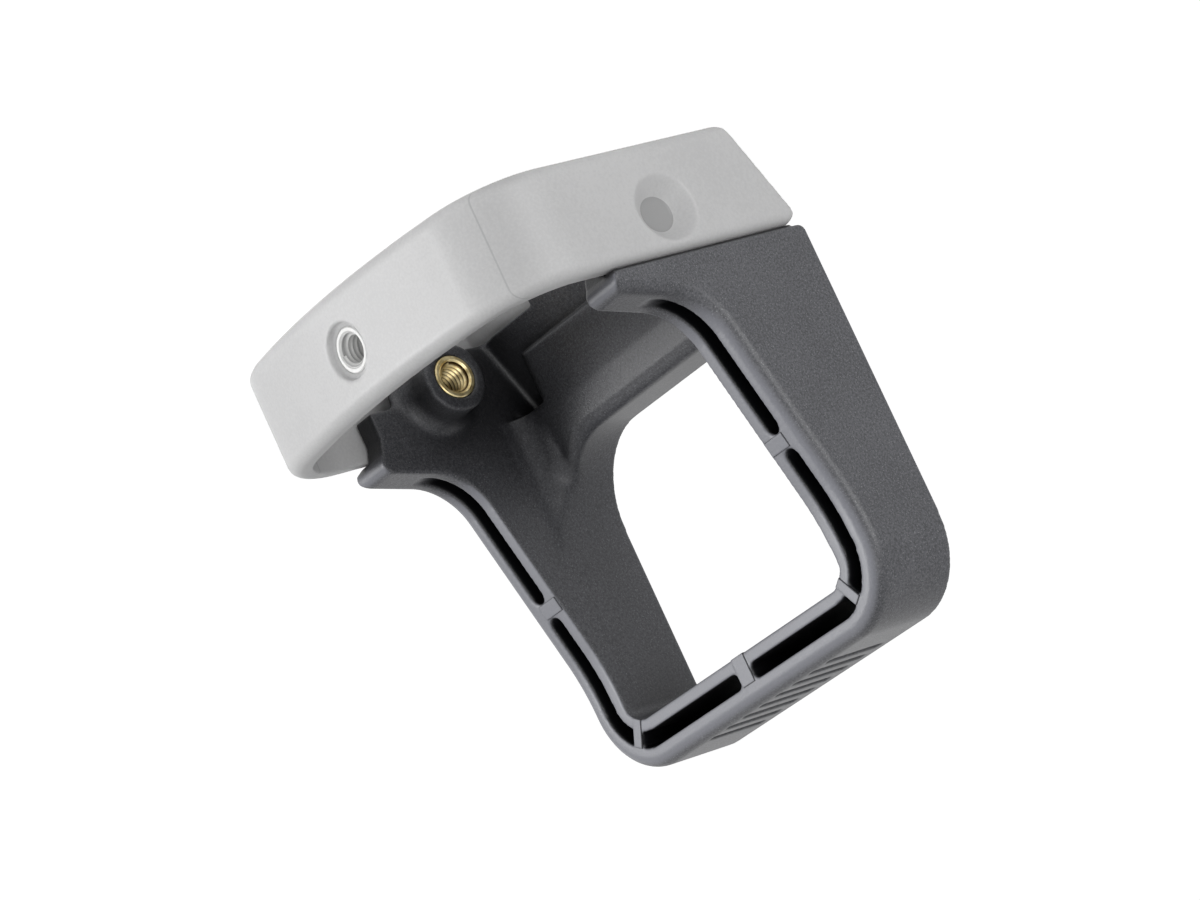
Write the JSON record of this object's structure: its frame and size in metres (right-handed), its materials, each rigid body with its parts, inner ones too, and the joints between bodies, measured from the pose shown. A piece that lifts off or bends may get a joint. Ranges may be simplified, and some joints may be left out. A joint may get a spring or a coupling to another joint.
{
  "type": "battery pull handle",
  "caption": "Stirrup-shaped plastic pull handle screwed to a closed collar with a bowed front, for drawing a battery out of its bay.",
  "frame": {"origin": "middle of the part's bounding box, at the collar's free edge, which is its lowest face", "axes": "+Z from the collar up to the grip bar, -Y towards the collar's bowed front and the open side of the handle, +X towards the left leg as seen by someone who holds the bar and looks along -Y"},
  "size_m": [0.07, 0.0556, 0.0736],
  "materials": {
    "handle": "fine grained charcoal moulding",
    "collar": "satin light grey moulding",
    "insert": "machined brass with a cut thread",
    "collar_insert": "pale plated metal with a cut thread"
  },
  "bodies": {
    "root": {"handle": "handle", "collar": "collar", "insert_left": "insert", "insert_right": "insert", "collar_insert": "collar_insert"}
  },
  "joints": []
}
